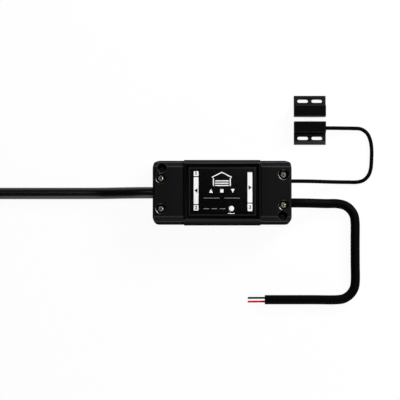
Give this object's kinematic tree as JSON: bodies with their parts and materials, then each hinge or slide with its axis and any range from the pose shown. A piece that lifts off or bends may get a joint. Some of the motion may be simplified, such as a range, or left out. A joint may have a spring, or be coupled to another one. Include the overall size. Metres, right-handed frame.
{
  "type": "garage door controller",
  "caption": "Black in-line garage door controller with a sunk label and push button, a mains lead with plug, a trigger cable with bare wires and a wired magnetic door contact.",
  "frame": {"origin": "midway between the two wall-mount holes, on the plane of the case's back", "axes": "+X along the case towards the sensor and trigger cables, +Z out of the back plane towards the label, +Y across the case towards the door contact"},
  "size_m": [0.3878, 0.1782, 0.025],
  "materials": {
    "case_black": "satin",
    "label_gloss": "gloss",
    "button_white": "gloss",
    "dark_plastic": "matte",
    "plated_steel": "satin",
    "tinned_steel": "satin",
    "board_green": "satin",
    "module_board": "satin",
    "relay_blue": "satin",
    "ferrite": "matte",
    "winding_tape": "satin",
    "capacitor_sleeve": "satin",
    "fuse_brown": "satin",
    "terminal_green": "satin",
    "wire_brown": "satin",
    "wire_white": "satin",
    "wire_red": "satin",
    "cable_black": "satin",
    "tie_black": "matte",
    "plug_black": "satin",
    "blade_brass": "satin",
    "contact_black": "satin",
    "fill_black": "matte",
    "reed_glass": "clear",
    "magnet_steel": "satin"
  },
  "bodies": {
    "case": {"base_shell": "case_black", "centre_cover": "case_black", "end_cover_left": "case_black", "end_cover_right": "case_black", "cover_screws": "plated_steel", "label_panel": "label_gloss", "tact_switch": "dark_plastic", "circuit_board": "board_green", "board_screws": "plated_steel", "relay": "relay_blue", "radio_module": "module_board", "shield_can": "tinned_steel", "transformer_core": "ferrite", "transformer_winding": "winding_tape", "input_capacitor": "capacitor_sleeve", "output_capacitor": "capacitor_sleeve", "fuse": "fuse_brown", "mains_terminal": "terminal_green", "sensor_terminal": "terminal_green", "trigger_terminal": "terminal_green", "terminal_screws": "plated_steel", "mains_wires": "wire_brown", "sensor_wires": "wire_white", "trigger_wires": "wire_red", "mains_lead": "cable_black", "mains_lead_coil": "cable_black", "coil_tie": "tie_black", "plug_body": "plug_black", "plug_blades": "blade_brass", "sensor_lead": "cable_black", "trigger_cable": "cable_black", "trigger_wire_black": "cable_black", "trigger_wire_red": "wire_red", "reed_housing": "contact_black", "reed_capsule": "reed_glass", "reed_fill": "fill_black"},
    "button": {"pairing_button": "button_white", "switch_plunger": "dark_plastic"},
    "magnet_half": {"magnet_housing": "contact_black", "magnet": "magnet_steel", "magnet_fill": "fill_black"}
  },
  "joints": [
    {"name": "pairing_button_press", "type": "slide", "parent": "case", "child": "button", "axis": [0, 0, -1], "range_m": [0, 0.0005], "stiffness_N_per_m": 2000},
    {"name": "door_magnet_slide", "type": "slide", "parent": "case", "child": "magnet_half", "axis": [0, 1, 0], "range_m": [0, 0.04]}
  ]
}
